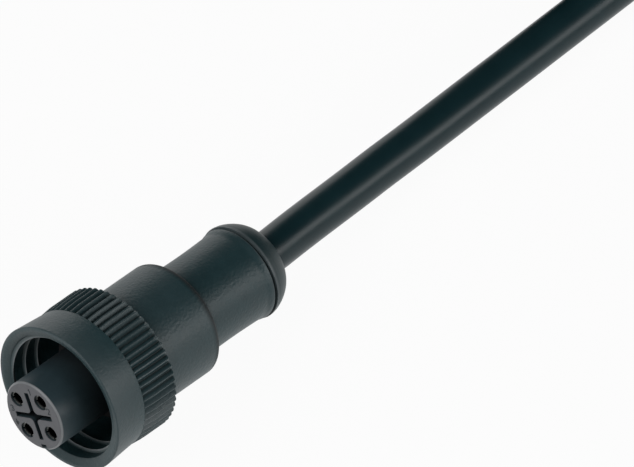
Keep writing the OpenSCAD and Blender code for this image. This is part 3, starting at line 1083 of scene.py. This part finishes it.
@dataclass
class Cable:
    """The cable: out of the dome, along the table and into a coil of nearly seven turns in four layers."""

    axis: Axis
    wires: WireFinishes
    ties: Piece
    radius: float = 0.00425
    length: float = 1.96
    jacket_front: float = 0.0480
    exit_place: float = 0.0613
    centre: tuple[float, float] = (0.162, 0.0442)
    first_layer: float = 0.00505
    turn_out: float = 0.04675
    sides: int = 28
    spacing: float = 0.0020
    route: tuple[tuple[float, ...], ...] = (
        (0.034, 0.00005, 0.0085), (0.038, 0.00025, 0.00795), (0.044, 0.00045, 0.0072),
        (0.050, 0.00055, 0.0065), (0.057, 0.0006, 0.0058), (0.064, 0.0006, 0.0053),
        (0.072, 0.00045, 0.0048), (0.080, 0.00025, 0.0045), (0.090, -0.00005, 0.0043),
        (0.100, -0.00045, 0.00425), (0.110, -0.00085, 0.00425), (0.120, -0.00125, 0.00425),
        (0.130, -0.00165, 0.00425), (0.140, -0.00205, 0.0043), (0.150, -0.0024, 0.0046),
    )
    coil_deg: float = 2475.0
    move_deg: float = 75.0
    jacket: Piece | None = None
    path: Array | None = None
    end: CutEnd | None = None

    def coil(self) -> Array:
        """The coil's line: an angle that grows, with the radius and the height stepped over by S-curves.

        A turn moves in or out by one diameter, or climbs by one, each over 75 degrees, and every such move
        comes earlier in the turn than the one before it, so that the cable never meets itself.

        Returns:
            The points of the line.
        """
        sideways = ((285.0, -1.0), (895.0, 1.0), (1505.0, -1.0), (2115.0, 1.0))
        climbs = (610.0, 1220.0, 1830.0)
        turned = np.arange(0.0, self.coil_deg, 4.0)
        moved = sum(way * smooth_step((turned - start) / self.move_deg) for start, way in sideways)
        raised = sum(smooth_step((turned - start) / self.move_deg) for start in climbs)
        radius = self.turn_out + 2.0 * self.radius * moved
        angle = np.radians(turned - 90.0)
        return np.stack([self.centre[0] + radius * np.cos(angle), self.centre[1] + radius * np.sin(angle),
                         self.first_layer + 2.0 * self.radius * raised], axis=1)

    def line(self) -> Array:
        """The whole centre line, in equal steps along a curve through every point of the route.

        Between two points the curve is a cubic, whose slope at each point is that of a parabola through the
        point and its two neighbours.

        Returns:
            The points of the line.
        """
        start = self.axis.face + np.array([[self.jacket_front], [self.exit_place]]) * self.axis.back
        knots = np.concatenate([start, np.array(self.route), self.coil()])
        place = run_along(knots)
        slope = np.gradient(knots, place, axis=0)
        wanted = np.linspace(0.0, place[-1], int(place[-1] / self.spacing) + 1)
        cell = np.clip(np.searchsorted(place, wanted, side="right") - 1, 0, len(place) - 2)
        width = np.diff(place)[cell][:, None]
        share = (wanted - place[cell])[:, None] / width
        rise = smooth_step(share)
        ease_in = share * (1.0 - share) ** 2
        ease_out = share * share * (share - 1.0)
        ends = knots[cell] * (1.0 - rise) + knots[cell + 1] * rise
        return ends + width * (ease_in * slope[cell] + ease_out * slope[cell + 1])

    def build(self) -> None:
        """Builds the jacket as a circle carried along the line, level with the table, and the cut end."""
        line = self.path = self.line()
        ahead = unit(np.gradient(line, axis=0))
        level = unit(np.cross(UP, ahead))
        over = np.cross(ahead, level)
        angle = full_turn(self.sides)
        spokes = np.cos(angle)[..., None] * level[:, None] + np.sin(angle)[..., None] * over[:, None]
        self.jacket = closed_surface("cable_jacket", line[:, None] + self.radius * spokes, caps=True)
        around = np.abs(angle / np.pi - 1.0)
        girths = run_along(line)[:, None] / (2.0 * np.pi * self.radius)
        set_uv(self.jacket, np.stack(np.broadcast_arrays(around, girths), axis=-1).reshape(-1, 2))
        self.end = CutEnd(line, self.wires)
        self.end.build()

    def dress(self) -> None:
        satin = SmoothJacket("cable_jacket", (0.006, 0.024, 0.029)).material()
        seat(self.jacket, Body.CONNECTOR, satin, ("cable_lead", "cable_coil"))
        self.end.dress()
        leaves = self.axis.face + self.exit_place * self.axis.back
        2.0 * self.radius


@dataclass
class PackedPieces:
    """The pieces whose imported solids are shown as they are, with a finish of their own."""

    frame: dict
    axis: Axis
    wires: WireFinishes
    # Depth behind the face beyond which the contacts carry painted shade
    bright_depth: float = 0.00055

    def dress(self) -> None:
        """Gives every shown node its finish."""
        face, along = self.axis.face, self.axis.back
        # Insert: painted light on the face, a painted highlight on its rim, and painted shade in the openings
        # and further back
        insert = NosePlastic("insert_plastic", (0.030, 0.052, 0.062), roughness=0.42, depth=0.000008,
                             rub_and_highlight=1.0, rubbed_and_highlit=(0.26, 0.27, 0.28), gloss=0.4, face=face, along=along)
        # The strain relief's band at the seam carries a painted highlight line
        relief = AxialPlastic("relief_plastic", (0.009, 0.028, 0.032), roughness=0.46, depth=0.000010,
                              rub_and_highlight=0.7, face=face, along=along, start=0.0564, middle=0.0567, stop=0.0570)
        seal = MouldedPlastic("seal_rubber", (0.012, 0.012, 0.013), roughness=0.7, depth=0.000010, gloss=0.3)
        nylon = MouldedPlastic("tie_plastic", (0.012, 0.020, 0.023), roughness=0.4, depth=0.000010)
        bright_to = float(face @ along) + self.bright_depth
        # Contacts with painted shade inside their bores
        plated = TurnedMetal("contact_plating", (0.30, 0.31, 0.30), along, roughness=0.4,
                             bright_to=bright_to).material()
        shown = {"contact_insert": insert, "strain_relief": relief, "face_seal": seal, "coil_ties": nylon}
        for node, finish in shown.items():
            paint_node(self.frame, node, finish.material())
        copper = self.wires.copper
        fours = {"core": self.wires.skins.values(), "socket": 4 * [plated], "strands": 4 * [copper]}
        for kind, finishes in fours.items():
            for node, finish in zip((f"{kind}_1", f"{kind}_2", f"{kind}_3", f"earth_{kind}"), finishes):
                paint_node(self.frame, node, finish)


def stand(data: bpy.types.ID, azimuth: float, elevation: float, offset: tuple, target: Array) -> Piece:
    """Puts a lamp or a camera into the scene, level, so that it looks from a direction.

    Args:
        data: The lamp or the camera.
        azimuth: The angle from +X towards +Y at which it stands, in degrees.
        elevation: The angle above the floor.
        offset: How far right, up and back of the target it stands, as it sees them itself.
        target: The point that it stands off from.

    Returns:
        The new object.
    """
    a, e = math.radians(azimuth), math.radians(elevation)
    back = np.array([math.cos(a) * math.cos(e), math.sin(a) * math.cos(e), math.sin(e)])
    right = unit(np.cross(UP, back))
    axes = np.stack([right, np.cross(back, right), back], axis=1)
    made = bpy.data.objects.new(data.name, data)
    matrix = np.eye(4)
    matrix[:3] = np.column_stack([axes, target + axes @ offset])
    made.matrix_world = Matrix(matrix.tolist())
    bpy.context.scene.collection.objects.link(made)
    return made


@dataclass(frozen=True)
class Softbox:
    """A soft rectangular lamp that looks at the connector from a direction."""

    name: str
    azimuth: float
    elevation: float
    distance: float
    width: float
    height: float
    power: float

    def place(self, target: Array) -> None:
        """Puts the lamp into the scene, unseen by the camera.

        Args:
            target: The point that it looks at.
        """
        data = bpy.data.lights.new(self.name, "AREA")
        data.shape = "RECTANGLE"
        data.size = self.width
        data.size_y = self.height
        data.energy = self.power
        lamp = stand(data, self.azimuth, self.elevation, (0.0, 0.0, self.distance), target)
        lamp.visible_camera = False


@dataclass
class Studio:
    """Floor, lamps and camera."""

    azimuth: float = -136.381
    elevation: float = 52.54
    lens: float = 1000.0
    sensor: float = 36.0
    frame_width: float = 0.119704
    aim_right: float = 0.032102
    aim_up: float = 0.027978
    clip_end: float = 100.0
    target: tuple[float, ...] = (0.02, 0.0, 0.01)
    floor_reach: float = 30.0
    floor_drop: float = 0.00002
    floor_sides: int = 64
    ambient: float = 0.03

    def build_floor(self) -> None:
        """Builds the floor as a disc: rings whose radius grows, carried round the origin."""
        radius = np.array([0.002, 0.3, 1.0, self.floor_reach])[:, None]
        angle = full_turn(self.floor_sides)
        level = np.full((len(radius), self.floor_sides), -self.floor_drop)
        grid = np.stack([radius * np.cos(angle), radius * np.sin(angle), level], axis=-1)
        quads = grid_faces(len(radius), self.floor_sides, False).tolist()
        floor = new_mesh("floor", grid.reshape(-1, 3), quads + [list(range(self.floor_sides))])
        floor.data.materials.append(StudioFloor().material())

    def build_lights(self) -> None:
        """Puts up the softboxes and a dim surround."""
        # Name, azimuth, elevation, distance, width, height and power
        boxes = (
            Softbox("key", -62.0, 21.5, 0.9, 0.9, 0.32, 3.8),
            Softbox("back", 60.0, 8.0, 1.2, 1.2, 0.4, 2.45),
            Softbox("front", 160.0, 45.0, 1.0, 0.8, 0.8, 6.3),
        )
        for box in boxes:
            box.place(np.array(self.target))
        world = bpy.data.worlds.new("surround")
        world.use_nodes = True
        surround = world.node_tree.nodes["Background"]
        surround.inputs["Color"].default_value = (0.97, 0.98, 1.0, 1.0)
        surround.inputs["Strength"].default_value = self.ambient
        bpy.context.scene.world = world

    def build_camera(self) -> None:
        """Puts the camera at the angle of the view, as far back as its lens needs for the frame's width."""
        data = bpy.data.cameras.new("camera")
        data.lens = self.lens
        data.sensor_width = self.sensor
        data.clip_end = self.clip_end
        offset = (self.aim_right, self.aim_up, self.frame_width * self.lens / self.sensor)
        bpy.context.scene.camera = stand(data, self.azimuth, self.elevation, offset, np.zeros(3))

    def build(self) -> None:
        """Builds the whole studio."""
        self.build_floor()
        self.build_lights()
        self.build_camera()
        bpy.context.scene.view_settings.view_transform = "Standard"


def main() -> None:
    """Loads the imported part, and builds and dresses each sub-assembly."""
    logging.basicConfig(level=logging.INFO, format="%(message)s")
    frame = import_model()
    axis = Axis.of_joint(frame["joints"][0], ring_middle=0.0151)
    wires = WireFinishes(axis.back)
    wires.make()
    cable = Cable(axis, wires, frame["nodes"]["coil_ties"])
    for part in (cable, CouplingRing(axis), FaceMarks(axis), Shell(axis)):
        part.build()
        part.dress()
    PackedPieces(frame, axis, wires).dress()
    Studio().build()


if __name__ == "__main__":
    main()
